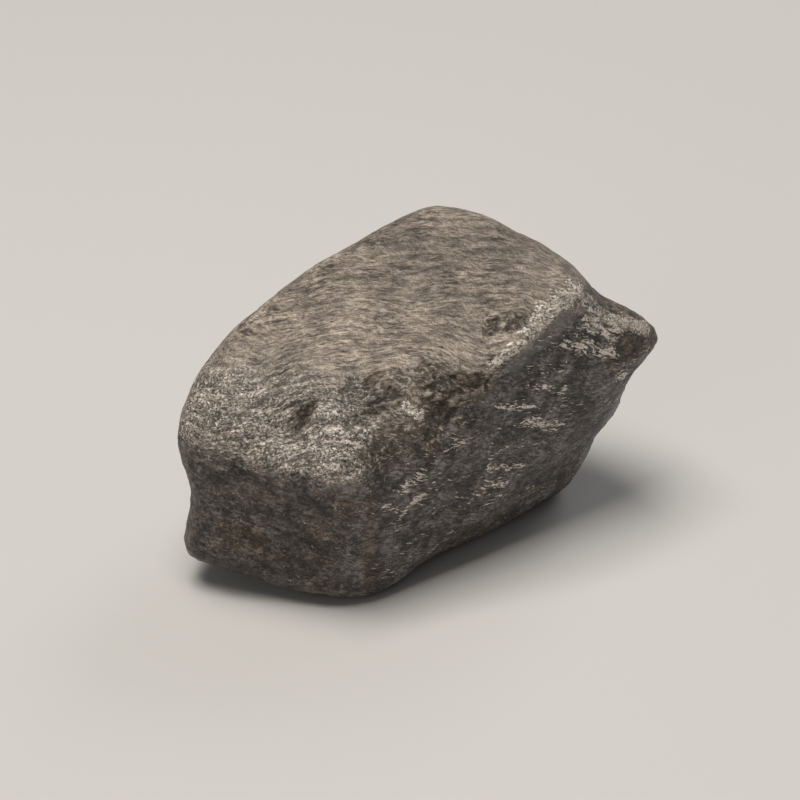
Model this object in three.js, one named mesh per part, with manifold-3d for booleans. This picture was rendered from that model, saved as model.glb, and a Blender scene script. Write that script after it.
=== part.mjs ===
// A rough diamond: one uncut crystal, an irregular block with a pointed right end, drawn in millimetres, +Z up.
// The block is the hull of its named corners, worn round along its edges, then dented by its chips and hollows,
// and it stands on a flat cleavage face.
import * as THREE from "three";
import { ConvexGeometry } from "three/addons/geometries/ConvexGeometry.js";
import { mergeVertices } from "three/addons/utils/BufferGeometryUtils.js";
import Module from "manifold-3d";

// Corners of the block before wear, measured from the front foot: +X along the stone, +Y towards its back.
const CORNERS = {
  frontFoot: [0.1, 0, 0],
  frontFootToe: [-1.9, -0.6, 0.9],
  leftUnderside: [-6.4, 0.1, 2.3],
  leftHeel: [-10.15, 0.9, 1.4],
  leftHeelTop: [-9.9, 1.2, 2.5],
  leftHeelBack: [-8.2, 5.0, 1.8],
  frontBrow: [-0.4, -1.85, 8.9],
  leftShoulder: [-10.1, 1.0, 9.5],
  leftShoulderTop: [-9.15, 2.2, 10.8],
  leftShoulderBack: [-8.4, 4.2, 12.0],
  leftFlank: [-9.0, 6.5, 6.5],
  leftCrest: [-7.0, 5.5, 13.1],
  middleCrest: [-2.8, 7.7, 15.6],
  crownLeft: [1.2, 9.2, 17.15],
  crown: [3.4, 9.6, 17.9],
  crownRight: [6.4, 9.0, 17.5],
  rightShoulder: [10.1, 4.8, 15.8],
  rightShoulderBack: [10.3, 6.4, 15.4],
  rightTip: [15.3, 7.9, 11.0],
  rightTipBack: [12.9, 9.7, 11.0],
  rightKeelHigh: [12.6, 8.4, 7.1],
  rightKeelMiddle: [11.6, 8.7, 4.3],
  rightKeelLow: [11.1, 9.1, 1.5],
  baseFrontRight: [6.3, 6.8, 0],
  baseRight: [10.3, 9.7, 0.1],
  baseBack: [5.5, 12.6, 0],
  baseBackLeft: [-1.0, 12.0, 0],
  baseLeft: [-4.0, 6.0, 0],
  baseFrontLeft: [-1.6, 1.2, 0],
  backCrest: [2.5, 12.8, 14.4],
  backRight: [10.8, 12.4, 9.4],
  backRightLow: [9.4, 13.2, 4.0],
  backLow: [2.0, 14.4, 3.2],
  backLeft: [-5.6, 10.8, 8.5],
};

// Hollows and swellings of the worn block: around each place, within its reach along X, Y and Z, the surface is
// moved by the shift, most in the middle and fading outwards.
const DENTS = {
  leftWaist: { at: [-10.4, 2.0, 5.5], reach: [4, 5, 2.9], shift: [0.9, 0.2, 0] },
  heelUnderside: { at: [-7.5, 0.2, 1.2], reach: [2.2, 2, 1.2], shift: [0, 0.2, 0.25] },
  footRight: { at: [2.9, 2.9, 0.3], reach: [2.4, 2.4, 2.4], shift: [-0.33, 0.33, 0.1] },
  rimWaist: { at: [11.3, 8.6, 4.3], reach: [1.7, 3, 1.6], shift: [-0.25, 0.1, 0.1] },
  tipUnderside: { at: [13.7, 8.2, 7.9], reach: [1.6, 3, 1.7], shift: [-0.35, 0.1, 0.2] },
  tipPoint: { at: [14.5, 8.0, 10.9], reach: [0.9, 1.2, 0.9], shift: [0.3, 0.1, 0.1] },
  tipSaddle: { at: [11.6, 6.9, 13.6], reach: [1.5, 3.4, 1.5], shift: [-0.35, 0.1, -0.5] },
  crownNotch: { at: [7.0, 8.8, 16.9], reach: [0.7, 2.5, 1.2], shift: [0, 0, -0.22] },
  chippedBrow: { at: [0.9, -0.7, 9.4], reach: [1.5, 1.6, 1.6], shift: [-0.45, 0.6, 0] },
  chippedEdge: { at: [3.2, 0.9, 11.2], reach: [1.7, 1.5, 1.5], shift: [-0.5, 0.7, 0] },
  ridgeScoop: { at: [6.6, 3.9, 14.7], reach: [1.5, 1.2, 1.0], shift: [-0.15, 0.2, -0.45] },
  browPit: { at: [-3.7, 0.7, 10.2], reach: [0.8, 1.1, 0.9], shift: [0.05, 0.15, -0.4] },
  backHollow: { at: [3.5, 14.3, 8.2], reach: [3.6, 3, 3.4], shift: [0.1, -0.8, 0] },
  backLeftScoop: { at: [-6.2, 11.2, 5.2], reach: [3, 3, 2.6], shift: [0.6, -0.4, 0.1] },
  backRim: { at: [-1.5, 11.4, 14.2], reach: [2, 2.2, 1.8], shift: [0.1, -0.45, -0.35] },
  backRightFlat: { at: [11.4, 12.8, 6.6], reach: [2.4, 2.4, 2.6], shift: [-0.4, -0.35, 0] },
};

const HEART = [1.5, 6.4, 8]; // a point well inside, from which every part of the surface can be seen
const SPHERE_DETAIL = 16; // rings of triangles that carry the surface
const WEAR_PASSES = 3; // each pass rounds the edges a little further
const WEAR_SHARE = 0.5; // how far a point moves towards its neighbours' middle in one pass
const REST_CUT = 0.15; // thickness that the cleavage face takes off the underside

const GREY_BROWN = 0x6f6459;

// Planes of the hull's facets, each as a unit normal and its distance from the heart.
function hullPlanes() {
  const heart = new THREE.Vector3(...HEART);
  const corners = Object.values(CORNERS).map((c) => new THREE.Vector3(...c).sub(heart));
  const position = new ConvexGeometry(corners).getAttribute("position");
  const planes = [];
  const [a, b, c] = [0, 1, 2].map(() => new THREE.Vector3());
  for (let i = 0; i < position.count; i += 3) {
    a.fromBufferAttribute(position, i);
    b.fromBufferAttribute(position, i + 1);
    c.fromBufferAttribute(position, i + 2);
    const plane = new THREE.Plane().setFromCoplanarPoints(a, b, c);
    planes.push({ normal: plane.normal.clone(), distance: -plane.constant });
  }
  return planes;
}

// A ball of even triangles with shared vertices, each vertex a unit vector.
function unitBall() {
  const ball = new THREE.IcosahedronGeometry(1, SPHERE_DETAIL);
  ball.deleteAttribute("normal");
  ball.deleteAttribute("uv");
  return mergeVertices(ball, 1e-5);
}

// Moves every vertex of the ball out to the hull.
function projectToHull(geometry, planes) {
  const position = geometry.getAttribute("position");
  const direction = new THREE.Vector3();
  for (let i = 0; i < position.count; i++) {
    direction.fromBufferAttribute(position, i).normalize();
    let reach = Infinity;
    for (const { normal, distance } of planes) {
      const facing = normal.dot(direction);
      if (facing > 0) reach = Math.min(reach, distance / facing);
    }
    position.setXYZ(i, ...direction.multiplyScalar(reach));
  }
}

// The vertices that share an edge with each vertex.
function neighbourLists(geometry) {
  const lists = Array.from({ length: geometry.getAttribute("position").count }, () => new Set());
  const index = geometry.getIndex();
  for (let i = 0; i < index.count; i += 3) {
    const triangle = [index.getX(i), index.getX(i + 1), index.getX(i + 2)];
    for (const corner of triangle) {
      triangle.filter((other) => other !== corner).forEach((other) => lists[corner].add(other));
    }
  }
  return lists;
}

// Rounds edges and corners by drawing each vertex towards the middle of its neighbours.
function wearDown(geometry) {
  const position = geometry.getAttribute("position");
  const lists = neighbourLists(geometry);
  const points = Array.from({ length: position.count }, (_, i) =>
    new THREE.Vector3().fromBufferAttribute(position, i),
  );
  for (let pass = 0; pass < WEAR_PASSES; pass++) {
    const middles = lists.map((list) => {
      const middle = new THREE.Vector3();
      for (const j of list) middle.add(points[j]);
      return middle.divideScalar(list.size);
    });
    points.forEach((point, i) => point.lerp(middles[i], WEAR_SHARE));
  }
  points.forEach((point, i) => position.setXYZ(i, point.x, point.y, point.z));
}

// Presses the dents in, each a shift that fades with distance over its reach.
function pressDents(geometry) {
  const position = geometry.getAttribute("position");
  const heart = new THREE.Vector3(...HEART);
  const point = new THREE.Vector3();
  const away = new THREE.Vector3();
  const dents = Object.values(DENTS).map(({ at, reach, shift }) => ({
    at: new THREE.Vector3(...at),
    reach: new THREE.Vector3(...reach),
    shift: new THREE.Vector3(...shift),
  }));
  for (let i = 0; i < position.count; i++) {
    point.fromBufferAttribute(position, i).add(heart);
    const moved = point.clone();
    for (const { at, reach, shift } of dents) {
      away.subVectors(point, at).divide(reach);
      moved.addScaledVector(shift, Math.exp(-away.lengthSq()));
    }
    position.setXYZ(i, ...moved.sub(heart));
  }
}

function asManifold(wasm, geometry) {
  const merged = mergeVertices(geometry, 1e-5);
  return new wasm.Manifold(
    new wasm.Mesh({
      numProp: 3,
      vertProperties: new Float32Array(merged.getAttribute("position").array),
      triVerts: new Uint32Array(merged.getIndex().array),
    }),
  );
}

function asGeometry(solid) {
  const mesh = solid.getMesh();
  const positions = new THREE.BufferAttribute(new Float32Array(mesh.vertProperties), mesh.numProp);
  return new THREE.BufferGeometry()
    .setAttribute("position", positions)
    .setIndex(new THREE.BufferAttribute(new Uint32Array(mesh.triVerts), 1));
}

// Cuts the flat cleavage face that the stone stands on, at the height REST_CUT.
async function cleaveBase(geometry) {
  const wasm = await Module();
  wasm.setup();
  const side = 60;
  const below = new THREE.BoxGeometry(side, side, side).translate(0, 0, REST_CUT - side / 2);
  below.deleteAttribute("normal");
  below.deleteAttribute("uv");
  return asGeometry(asManifold(wasm, geometry).subtract(asManifold(wasm, below)));
}

async function roughDiamond() {
  const stone = unitBall();
  projectToHull(stone, hullPlanes());
  wearDown(stone);
  pressDents(stone);
  stone.translate(...HEART);
  const cleaved = await cleaveBase(stone);
  cleaved.computeBoundingBox();
  const middle = cleaved.boundingBox.getCenter(new THREE.Vector3());
  cleaved.translate(-middle.x, -middle.y, -cleaved.boundingBox.min.z);
  cleaved.computeVertexNormals();
  const material = new THREE.MeshStandardMaterial({ color: GREY_BROWN, roughness: 0.45, metalness: 0 });
  const mesh = new THREE.Mesh(cleaved, material);
  mesh.name = "rough_diamond";
  return mesh;
}

const part = new THREE.Group();
part.add(await roughDiamond());

export default part;
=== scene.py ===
import math

import bpy
import numpy as np
from mathutils import Matrix, Vector, noise


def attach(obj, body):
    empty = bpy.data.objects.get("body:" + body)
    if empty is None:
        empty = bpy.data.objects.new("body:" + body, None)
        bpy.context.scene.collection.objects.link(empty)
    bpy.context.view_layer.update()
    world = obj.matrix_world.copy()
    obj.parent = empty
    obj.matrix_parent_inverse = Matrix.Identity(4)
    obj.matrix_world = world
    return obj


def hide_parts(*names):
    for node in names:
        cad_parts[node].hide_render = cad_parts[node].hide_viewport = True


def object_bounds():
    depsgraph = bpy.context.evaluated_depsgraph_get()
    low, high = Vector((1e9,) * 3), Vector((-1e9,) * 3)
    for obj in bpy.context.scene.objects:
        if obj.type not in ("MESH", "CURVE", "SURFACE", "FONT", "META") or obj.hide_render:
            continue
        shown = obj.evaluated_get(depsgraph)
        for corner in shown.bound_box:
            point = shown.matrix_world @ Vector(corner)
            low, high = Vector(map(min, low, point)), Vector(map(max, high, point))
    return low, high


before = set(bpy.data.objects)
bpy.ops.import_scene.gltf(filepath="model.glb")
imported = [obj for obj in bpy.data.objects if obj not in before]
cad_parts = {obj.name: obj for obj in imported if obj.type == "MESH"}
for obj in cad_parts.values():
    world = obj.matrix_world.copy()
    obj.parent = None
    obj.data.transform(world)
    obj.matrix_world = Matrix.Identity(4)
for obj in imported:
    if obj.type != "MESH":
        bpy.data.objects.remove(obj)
CAD_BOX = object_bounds()

bl_info = {
    "name": "Rough Diamond",
    "version": (1, 0, 0),
    "blender": (4, 5, 0),
    "location": "3D Viewport > Sidebar > Diamond",
    "description": "Builds an uncut diamond's etched skin over its frame, with floor, lights and camera",
    "category": "Mesh",
}

# The stone is shaped in millimetres and shrunk to metres at the end.
MM = 0.001
NODE = "rough_diamond"
BODY = "root"
LEAN_SEED = 5  # fixes which way the cells of the broken surfaces lean

# Rounds of smoothing along the mesh's edges.
SOFTEN_PASSES = 11  # of the mesh itself
LIE_PASSES = 9  # of its normals, along which the relief moves it
BULGE_PASSES = 74  # of the form that its worn edges are measured against
RIM_PASSES = 88  # of the border between the top and the sides
FINE_BULGE_PASSES = 6  # of the form that its crests and hollows are measured against

# Directions in the stone's frame: the way that each face looks, and the grain of its strokes and steps.
TOP_FACE = Vector((-0.11, -0.60, 0.79))
TOP_GRAIN = Vector((0.99, -0.10, 0.06))
RIGHT_FACE = Vector((0.54, -0.83, -0.14))
RIGHT_GRAIN = Vector((0.75, 0.54, -0.38))
LEFT_FACE = Vector((-0.20, -0.97, -0.06))
LEFT_GRAIN = Vector((0.97, -0.19, -0.16))
BACK_FACE = Vector((0.20, 0.97, 0.10))
BACK_GRAIN = Vector((0.95, -0.20, 0.10))
FLAKE_GRAIN = Vector((0.72, 0.36, -0.60))  # of the flakes by the pointed end

# Relief, in millimetres. Each noise has its own offset, so that no two of them match.
WEAR_RISE = 0.45  # how much of its own bulge is added again to every edge and dent
SWELLS = ((0.09, 4.2, 0.5), (0.035, 1.7, 2.5), (0.012, 0.75, 6.5))  # height, lump size, offset
FLOW_WANDER = ((0.22, 2.4, 3.0), (0.07, 0.8, 9.0))  # the same, for the top's strokes
SIDE_STEPS = {  # grain, face, spacing of the steps, offset
    "right": (RIGHT_GRAIN, RIGHT_FACE, 0.55, 31.0),
    "left": (LEFT_GRAIN, LEFT_FACE, 0.7, 41.0),
    "back": (BACK_GRAIN, BACK_FACE, 0.65, 51.0),
}
STEP_HEIGHT = 0.028
SIDE_GRIT = 0.013
TOP_RIPPLE = 0.013
TOP_GRIT = 0.012
WORN_DEPTH = 0.10
SCAR_TILT = 0.10
PIT_RAGGED = 0.9  # how far the pits' edges wander, as a share of their half width
PIT_CRUMBLE = 0.7
REST_EDGE = 0.05  # height above the rest face where the relief starts
# The hollow mask places painted shade, tinted brown.
HOLLOW_DEPTH = (0.008, 0.035)  # how deep a dent starts to look like one, and where it fully does
CREST_HEIGHT = (0.006, 0.03)  # the same, for a crest
EDGE_BULGE = (0.05, 0.25)  # the same, for an edge of the block
WORN_BULGE = (0.05, 0.2)  # the same, for an edge that crumbles

# Where each part of the skin starts and where it is full. The turns compare the way that the skin looks with
# straight up or with the face's own direction, and the others are places in millimetres.
TOP_TURN = (0.05, 0.62)
UPPER_TURN = (0.22, 0.42)  # of the skin that can carry plates
RIGHT_TURN = (0.80, 0.94)
LEFT_TURN = (0.84, 0.95)
CROWN_END = (7.7, 8.3)  # along X, where the top gives way to the thin back face by the pointed end
BROW_HEIGHT = (12.9, 10.9)
BROW_END = (-0.8, -2.8)  # along X

# Where the top's strokes leave their grain: middle, reach, and slope against the grain.
BENDS = {
    "brow": ((-6.5, -5.0, 10.8), 3.4, 0.5),
    "left_end": ((-10.6, -4.9, 9.8), 1.2, -0.5),
    "scar_left": ((-2.3, -4.2, 12.0), 1.6, 0.5),
    "scar_right": ((1.6, -3.7, 12.9), 2.2, -0.5),
    "left_slope": ((-5.5, -1.8, 13.0), 3.0, 0.22),
    "crown_right": ((5.5, 0.0, 15.3), 2.5, -0.2),
}

# Patches of the skin, in millimetres. Each runs from a start to an end and reaches its half width to
# either side. The last number is a plate's height, a pit's depth, or how strong the patch is.
# Smooth plates that stand a little proud, painted bright as highlights:
PLATES = {
    "ridge_top": ((7.4, -1.1, 15.1), (6.2, -2.0, 14.4), 0.68, 0.03),
    "ridge_middle": ((6.1, -2.1, 14.3), (5.2, -2.7, 13.7), 0.52, 0.03),
    "ridge_tail": ((5.2, -2.75, 13.6), (3.4, -3.9, 12.7), 0.29, 0.03),
    "scoop_rim": ((4.1, -2.6, 13.6), (3.5, -2.9, 13.5), 0.13, 0.02),
    "spur": ((-0.7, -5.2, 11.2), (-0.1, -5.2, 10.8), 0.28, 0.05),
    "spur_chip": ((2.0, -4.5, 11.6), (2.5, -4.5, 11.6), 0.14, 0.05),
}
# Pits and scoops, whose floors get painted shade:
PITS = {
    "brow_pit": ((-5.5, -4.9, 10.9), (-6.1, -5.5, 10.3), 0.36, 0.13),
    "scar_upper": ((-2.6, -4.3, 11.9), (-2.1, -3.9, 12.2), 0.28, 0.08),
    "scar_slant": ((-2.9, -5.5, 10.7), (-1.4, -4.7, 11.6), 0.34, 0.11),
    "edge_hollow": ((0.6, -4.6, 11.8), (2.6, -4.3, 12.2), 0.50, 0.16),
    "edge_hollow_low": ((0.4, -4.9, 11.4), (1.3, -5.0, 10.7), 0.36, 0.10),
    "scoop": ((4.9, -1.9, 14.3), (4.5, -2.3, 13.9), 0.34, 0.08),
    "scoop_side": ((3.5, -2.2, 14.1), (3.3, -2.5, 13.8), 0.26, 0.08),
    "back_pit": ((-3.4, 5.4, 8.8), (-2.6, 5.8, 7.9), 0.55, 0.25),
    "back_chip": ((5.2, 6.8, 5.6), (6.2, 6.6, 4.6), 0.70, 0.25),
    "end_pit": ((-10.4, -1.8, 6.6), (-10.3, -1.2, 5.9), 0.50, 0.20),
}
# Chipped skin with dark strokes:
SCARS = {
    "scar": ((-2.8, -4.6, 11.5), (1.0, -4.2, 12.3), 1.0, 0.72),
    "brow_pit": ((-5.5, -4.9, 10.9), (-6.1, -5.5, 10.3), 0.34, 0.85),
    "scar_tail": ((-2.0, -6.6, 9.6), (-0.5, -5.4, 10.8), 0.8, 0.9),
    "scar_edge": ((0.5, -4.8, 11.3), (3.0, -4.4, 11.9), 0.7, 1.0),
    "scoop_floor": ((4.6, -2.2, 14.1), (3.4, -2.5, 13.9), 0.5, 0.8),
}
# Flakes by the pointed end, painted bright as glints:
FLAKES = {
    "tip_rim": ((7.9, -0.9, 14.6), (9.0, -0.2, 13.3), 0.45, 1.0),
    "tip": ((8.0, -0.9, 13.3), (9.6, -0.1, 12.2), 0.60, 1.0),
    "tip_low": ((7.0, -1.7, 12.6), (9.4, -0.5, 11.3), 0.45, 1.0),
}
# Rows and clusters of flecks, painted bright as glints:
FLECKS = {
    "tip_spots": ((9.8, 0.0, 9.9), (10.1, 0.2, 9.2), 0.35, 0.9),
    "upper_row": ((5.2, -3.1, 10.9), (6.9, -2.0, 10.0), 0.22, 0.8),
    "second_row": ((3.7, -4.0, 10.4), (5.7, -2.8, 9.5), 0.20, 0.7),
    "zigzag": ((5.2, -2.9, 8.8), (6.8, -1.8, 7.7), 0.35, 1.0),
    "middle_dot": ((3.5, -3.8, 7.1), (4.2, -3.4, 7.5), 0.22, 1.0),
    "left_row": ((1.0, -5.5, 8.8), (2.1, -4.9, 9.0), 0.20, 0.8),
    "lower_row": ((3.3, -3.8, 6.6), (4.9, -2.6, 5.8), 0.20, 0.8),
    "low_cluster": ((3.2, -3.6, 5.3), (4.5, -2.6, 4.7), 0.24, 0.9),
    "foot_row": ((2.6, -4.0, 5.2), (4.3, -2.4, 3.9), 0.20, 0.8),
    "front_strokes": ((-0.9, -6.5, 7.2), (0.0, -6.0, 7.8), 0.42, 1.0),
    "front_zigzag": ((-0.9, -6.3, 5.7), (0.0, -5.9, 6.3), 0.30, 1.0),
    "front_line": ((-2.0, -7.0, 6.8), (-1.0, -6.4, 5.8), 0.20, 0.8),
    "foot_rings": ((0.5, -4.2, 1.7), (1.3, -4.1, 2.5), 0.35, 0.6),
    "back_row": ((-2.0, 6.0, 10.0), (2.0, 6.6, 9.0), 0.35, 0.8),
    "back_low_row": ((1.0, 7.2, 5.0), (4.5, 7.0, 4.4), 0.35, 0.7),
}
# Brown stains:
STAINS = {
    "front_edge": ((-2.4, -7.4, 7.3), (-2.6, -6.8, 3.2), 0.35, 0.8),
    "front_foot": ((-2.6, -6.8, 3.2), (-2.5, -6.4, 1.0), 0.45, 0.8),
    "heel": ((-9.4, -6.0, 4.4), (-7.9, -6.6, 4.0), 0.6, 0.8),
    "edge_hollow": ((1.4, -4.6, 11.5), (2.5, -4.4, 12.0), 0.5, 0.8),
    "tip": ((9.8, -0.2, 11.0), (11.3, 0.9, 10.8), 0.9, 0.7),
    "tip_back": ((8.4, 2.6, 14.0), (11.4, 3.0, 11.6), 1.6, 1.0),
    "back_foot": ((-2.0, 6.6, 1.0), (3.0, 7.4, 1.5), 0.9, 0.7),
}
# Where the top's frosted skin is chipped away and the sides' darker skin shows, here also as painted shade
# for a face turned from the light:
CHIPS = {
    "chipped_edge": ((-0.9, -6.0, 10.1), (1.9, -4.7, 11.0), 0.80, 1.0),
    "chipped_foot": ((-1.6, -6.8, 9.0), (0.4, -5.4, 10.0), 0.60, 1.0),
}
# Smooth blue-grey skin:
BLUES = {
    "ridge_bevel": ((6.9, -1.5, 14.2), (5.6, -2.6, 13.3), 0.6, 1.0),
    "ridge_bevel_low": ((5.6, -2.7, 13.2), (4.5, -3.4, 12.5), 0.5, 1.0),
    "right_upper": ((3.9, -3.9, 12.1), (3.3, -4.2, 10.6), 0.6, 0.35),
    "lower_rim": ((9.9, 1.6, 6.9), (8.3, 2.3, 2.0), 0.6, 0.8),
    "left_middle": ((-6.3, -7.1, 8.0), (-4.4, -7.3, 8.4), 0.6, 0.35),
}
# Where the top's dark strokes gather:
STREAKS = {
    "brow_pit": ((-5.5, -4.9, 10.9), (-6.2, -5.6, 10.2), 0.45, 1.0),
    "brow_pit_above": ((-5.0, -4.4, 11.4), (-5.4, -4.8, 11.0), 0.30, 0.9),
    "brow_left": ((-9.6, -5.0, 9.6), (-8.8, -5.4, 9.5), 0.35, 0.7),
    "crown": ((2.2, -0.1, 15.7), (3.4, 0.0, 15.6), 0.45, 0.8),
    "crown_left": ((0.0, 0.7, 16.0), (0.8, 0.7, 16.1), 0.5, 0.8),
    "crest": ((-0.7, 1.9, 16.6), (0.1, 2.3, 16.9), 0.6, 1.0),
    "left": ((-4.8, 0.1, 14.8), (-3.6, 0.0, 14.9), 0.5, 0.8),
    "right": ((4.2, 0.2, 15.7), (4.9, 0.1, 15.6), 0.4, 0.7),
    "above_scar": ((-0.4, -3.1, 13.1), (1.6, -3.6, 12.9), 0.5, 0.9),
}
# Pale bands that run from the top over the pointed end, painted bright as highlights:
PALE = {
    "tip_band": ((9.1, -0.1, 13.1), (11.3, 1.2, 11.5), 0.34, 0.85),
    "tip_rim": ((8.1, -0.7, 14.5), (9.0, -0.1, 13.2), 0.22, 0.7),
}


COLOUR = {"size": 3, "min": 0.0, "max": 1.0, "subtype": "COLOR"}
LENGTH = {"subtype": "DISTANCE", "unit": "LENGTH"}


class DiamondSizes(bpy.types.PropertyGroup):
    """Sizes of the stone's skin"""

    grain: bpy.props.FloatProperty(
        name="Mesh Grain",
        description="Edge length of the skin's mesh",
        default=0.000128,
        min=0.00008,
        max=0.001,
        precision=5,
        **LENGTH,
    )
    relief: bpy.props.FloatProperty(
        name="Relief",
        description="Strength of the growth steps, pits and swells, where 1 is the real stone's",
        default=1.0,
        min=0.0,
        max=2.0,
        subtype="FACTOR",
    )
    rest_band: bpy.props.FloatProperty(
        name="Rest Band",
        description="Height above the rest face over which the relief fades in",
        default=0.0006,
        min=0.0001,
        max=0.005,
        precision=5,
        **LENGTH,
    )


class DiamondColours(bpy.types.PropertyGroup):
    """Colours of the stone's skin"""

    # Top colour: the real etched frosting, made lighter still as a painted sheen from the overhead light.
    frost_and_sheen: bpy.props.FloatVectorProperty(
        name="Frosted Skin",
        description="Etched skin of the top",
        default=(0.272, 0.225, 0.180),
        **COLOUR,
    )
    # Plate colour: the real plates between the grooves, lightened as a painted highlight on the brow; it
    # also paints the highlights on edges and crests, and the chipped skin's pale strokes.
    plate: bpy.props.FloatVectorProperty(
        name="Smooth Plates",
        description="Unetched plates between the strokes",
        default=(0.520, 0.450, 0.378),
        **COLOUR,
    )
    side: bpy.props.FloatVectorProperty(
        name="Dark Sides",
        description="Skin of the side faces",
        default=(0.070, 0.060, 0.051),
        **COLOUR,
    )
    blue: bpy.props.FloatVectorProperty(
        name="Blue-grey Faces",
        description="Skin of the long right face",
        default=(0.117, 0.108, 0.104),
        **COLOUR,
    )
    bevel: bpy.props.FloatVectorProperty(
        name="Bevels",
        description="Smoothest skin, beside the ridge and along the lower right rim",
        default=(0.180, 0.168, 0.163),
        **COLOUR,
    )
    tan: bpy.props.FloatVectorProperty(
        name="Tan Grains",
        description="Small tan grains and the dim flecks of the sides",
        default=(0.230, 0.180, 0.125),
        **COLOUR,
    )
    # Painted glints: the bright flecks, the flakes and the ridge's plates take this colour.
    fleck: bpy.props.FloatVectorProperty(
        name="Bright Flecks",
        description="Bright flakes that catch the light on the sides",
        default=(0.950, 0.840, 0.710),
        **COLOUR,
    )
    stain: bpy.props.FloatVectorProperty(
        name="Brown Stain",
        description="Iron stain along the lower edges and at the tip",
        default=(0.100, 0.066, 0.040),
        **COLOUR,
    )
    scar: bpy.props.FloatVectorProperty(
        name="Chipped Skin",
        description="Brownish skin of the chipped places along the ridge",
        default=(0.105, 0.083, 0.062),
        **COLOUR,
    )
    groove: bpy.props.FloatVectorProperty(
        name="Grooves",
        description="Etched grooves between the plates",
        default=(0.036, 0.028, 0.021),
        **COLOUR,
    )
    # Pit colour: painted shade, tinted brown, multiplied into the pits' floors and the dents.
    pit: bpy.props.FloatVectorProperty(
        name="Pits",
        description="Tint that darkens the floors of the pits",
        default=(0.300, 0.250, 0.200),
        **COLOUR,
    )


class DiamondStudio(bpy.types.PropertyGroup):
    """The floor, lights and camera"""

    floor_side: bpy.props.FloatProperty(
        name="Floor Side",
        description="Length of the square floor's side",
        default=3.0,
        min=0.2,
        **LENGTH,
    )
    floor_colour: bpy.props.FloatVectorProperty(
        name="Floor",
        description="Colour of the floor",
        default=(0.62, 0.60, 0.57),
        **COLOUR,
    )
    elevation: bpy.props.FloatProperty(
        name="Camera Elevation",
        description="How far the camera looks down on the stone",
        default=math.radians(35),
        subtype="ANGLE",
        unit="ROTATION",
    )
    distance: bpy.props.FloatProperty(
        name="Camera Distance",
        description="Distance from the camera to the middle of the view",
        default=0.1667,
        min=0.01,
        precision=4,
        **LENGTH,
    )
    lens: bpy.props.FloatProperty(
        name="Lens",
        description="Focal length of the camera in millimetres",
        default=150.0,
        min=10.0,
        unit="CAMERA",
    )


# ---------------------------------------------------------------- helpers


def deselect_all():
    if bpy.context.object and bpy.context.object.mode != "OBJECT":
        bpy.ops.object.mode_set(mode="OBJECT")
    bpy.ops.object.select_all(action="DESELECT")


def make_active(thing):
    deselect_all()
    thing.select_set(True)
    bpy.context.view_layer.objects.active = thing


def smooth_step(values, low, high):
    """0 below low, 1 above high and an even S between."""
    share = np.clip((values - low) / (high - low), 0, 1)
    return share * share * (3 - 2 * share)


def swell(points, size, offset=0.0):
    """Soft noise from about -1 to 1 at each point, with lumps of about the given size."""
    scaled = points / np.asarray(size) + offset
    return np.array([noise.noise(Vector(p)) for p in scaled])


def swells(points, layers):
    """Layers of soft noise on top of each other, each with its height, lump size and offset."""
    return sum(height * swell(points, size, offset) for height, size, offset in layers)


def broken(points, size, tilt, offset=0.0):
    """Heights of a broken surface: flat cells of about the given size, each tilted its own way."""
    cell = np.asarray(size)
    heights = np.empty(len(points))
    for i, place in enumerate(points / cell + offset):
        seed = noise.voronoi(Vector(place))[1][0]
        lean = noise.noise_vector(seed * 7.3 + Vector((3.1, 5.7, 1.9)))
        heights[i] = (Vector(place) - seed).dot(lean)
    return heights * tilt


def face_frame(grain, face):
    """Rows of unit vectors: along a grain, across it in its face, and out of the face."""
    along = grain.normalized()
    across = face.cross(along).normalized()
    return Matrix((along, across, along.cross(across)))


def in_frame(points, grain, face):
    return points @ np.array(face_frame(grain, face)).T


def ledges(phase, rise):
    """A row of steps: each rises to 1 within its first part and falls away evenly to 0."""
    share = phase - np.floor(phase)
    return np.where(share < rise, share / rise, (1 - share) / (1 - rise))


def within(points, place, ragged):
    """How far inside a patch each point lies: 1 in its middle, 0.5 at its edge and 0 outside."""
    start, end, half_width, _ = place
    first, last = np.array(start), np.array(end)
    line = last - first
    along = np.clip((points - first) @ line / (line @ line), 0, 1)
    away = np.linalg.norm(points - first - along[:, None] * line, axis=1) / half_width
    return np.clip(1.5 - away + ragged, 0, 1)


def patch_field(points, places, ragged=0.0):
    """The strongest of the named patches at each point, fading evenly over its edge."""
    field = np.zeros(len(points))
    for place in places.values():
        field = np.maximum(field, place[3] * within(points, place, ragged))
    return field


# ---------------------------------------------------------------- the skin's mesh


def read_points(mesh):
    flat = np.empty(len(mesh.vertices) * 3)
    mesh.vertices.foreach_get("co", flat)
    return flat.reshape(-1, 3)


def read_normals(mesh):
    flat = np.empty(len(mesh.vertices) * 3)
    mesh.vertex_normals.foreach_get("vector", flat)
    return flat.reshape(-1, 3)


def write_points(mesh, points):
    mesh.vertices.foreach_set("co", points.ravel())
    mesh.update()


def write_mask(mesh, name, values):
    attribute = mesh.attributes.new(name, "FLOAT", "POINT")
    attribute.data.foreach_set("value", np.clip(values, 0, 1).astype(np.float32))


def write_flow(mesh, name, vectors):
    attribute = mesh.attributes.new(name, "FLOAT_VECTOR", "POINT")
    attribute.data.foreach_set("vector", vectors.astype(np.float32).ravel())


def edge_ends(mesh):
    flat = np.empty(len(mesh.edges) * 2, np.int64)
    mesh.edges.foreach_get("vertices", flat)
    return flat.reshape(-1, 2)


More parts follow.
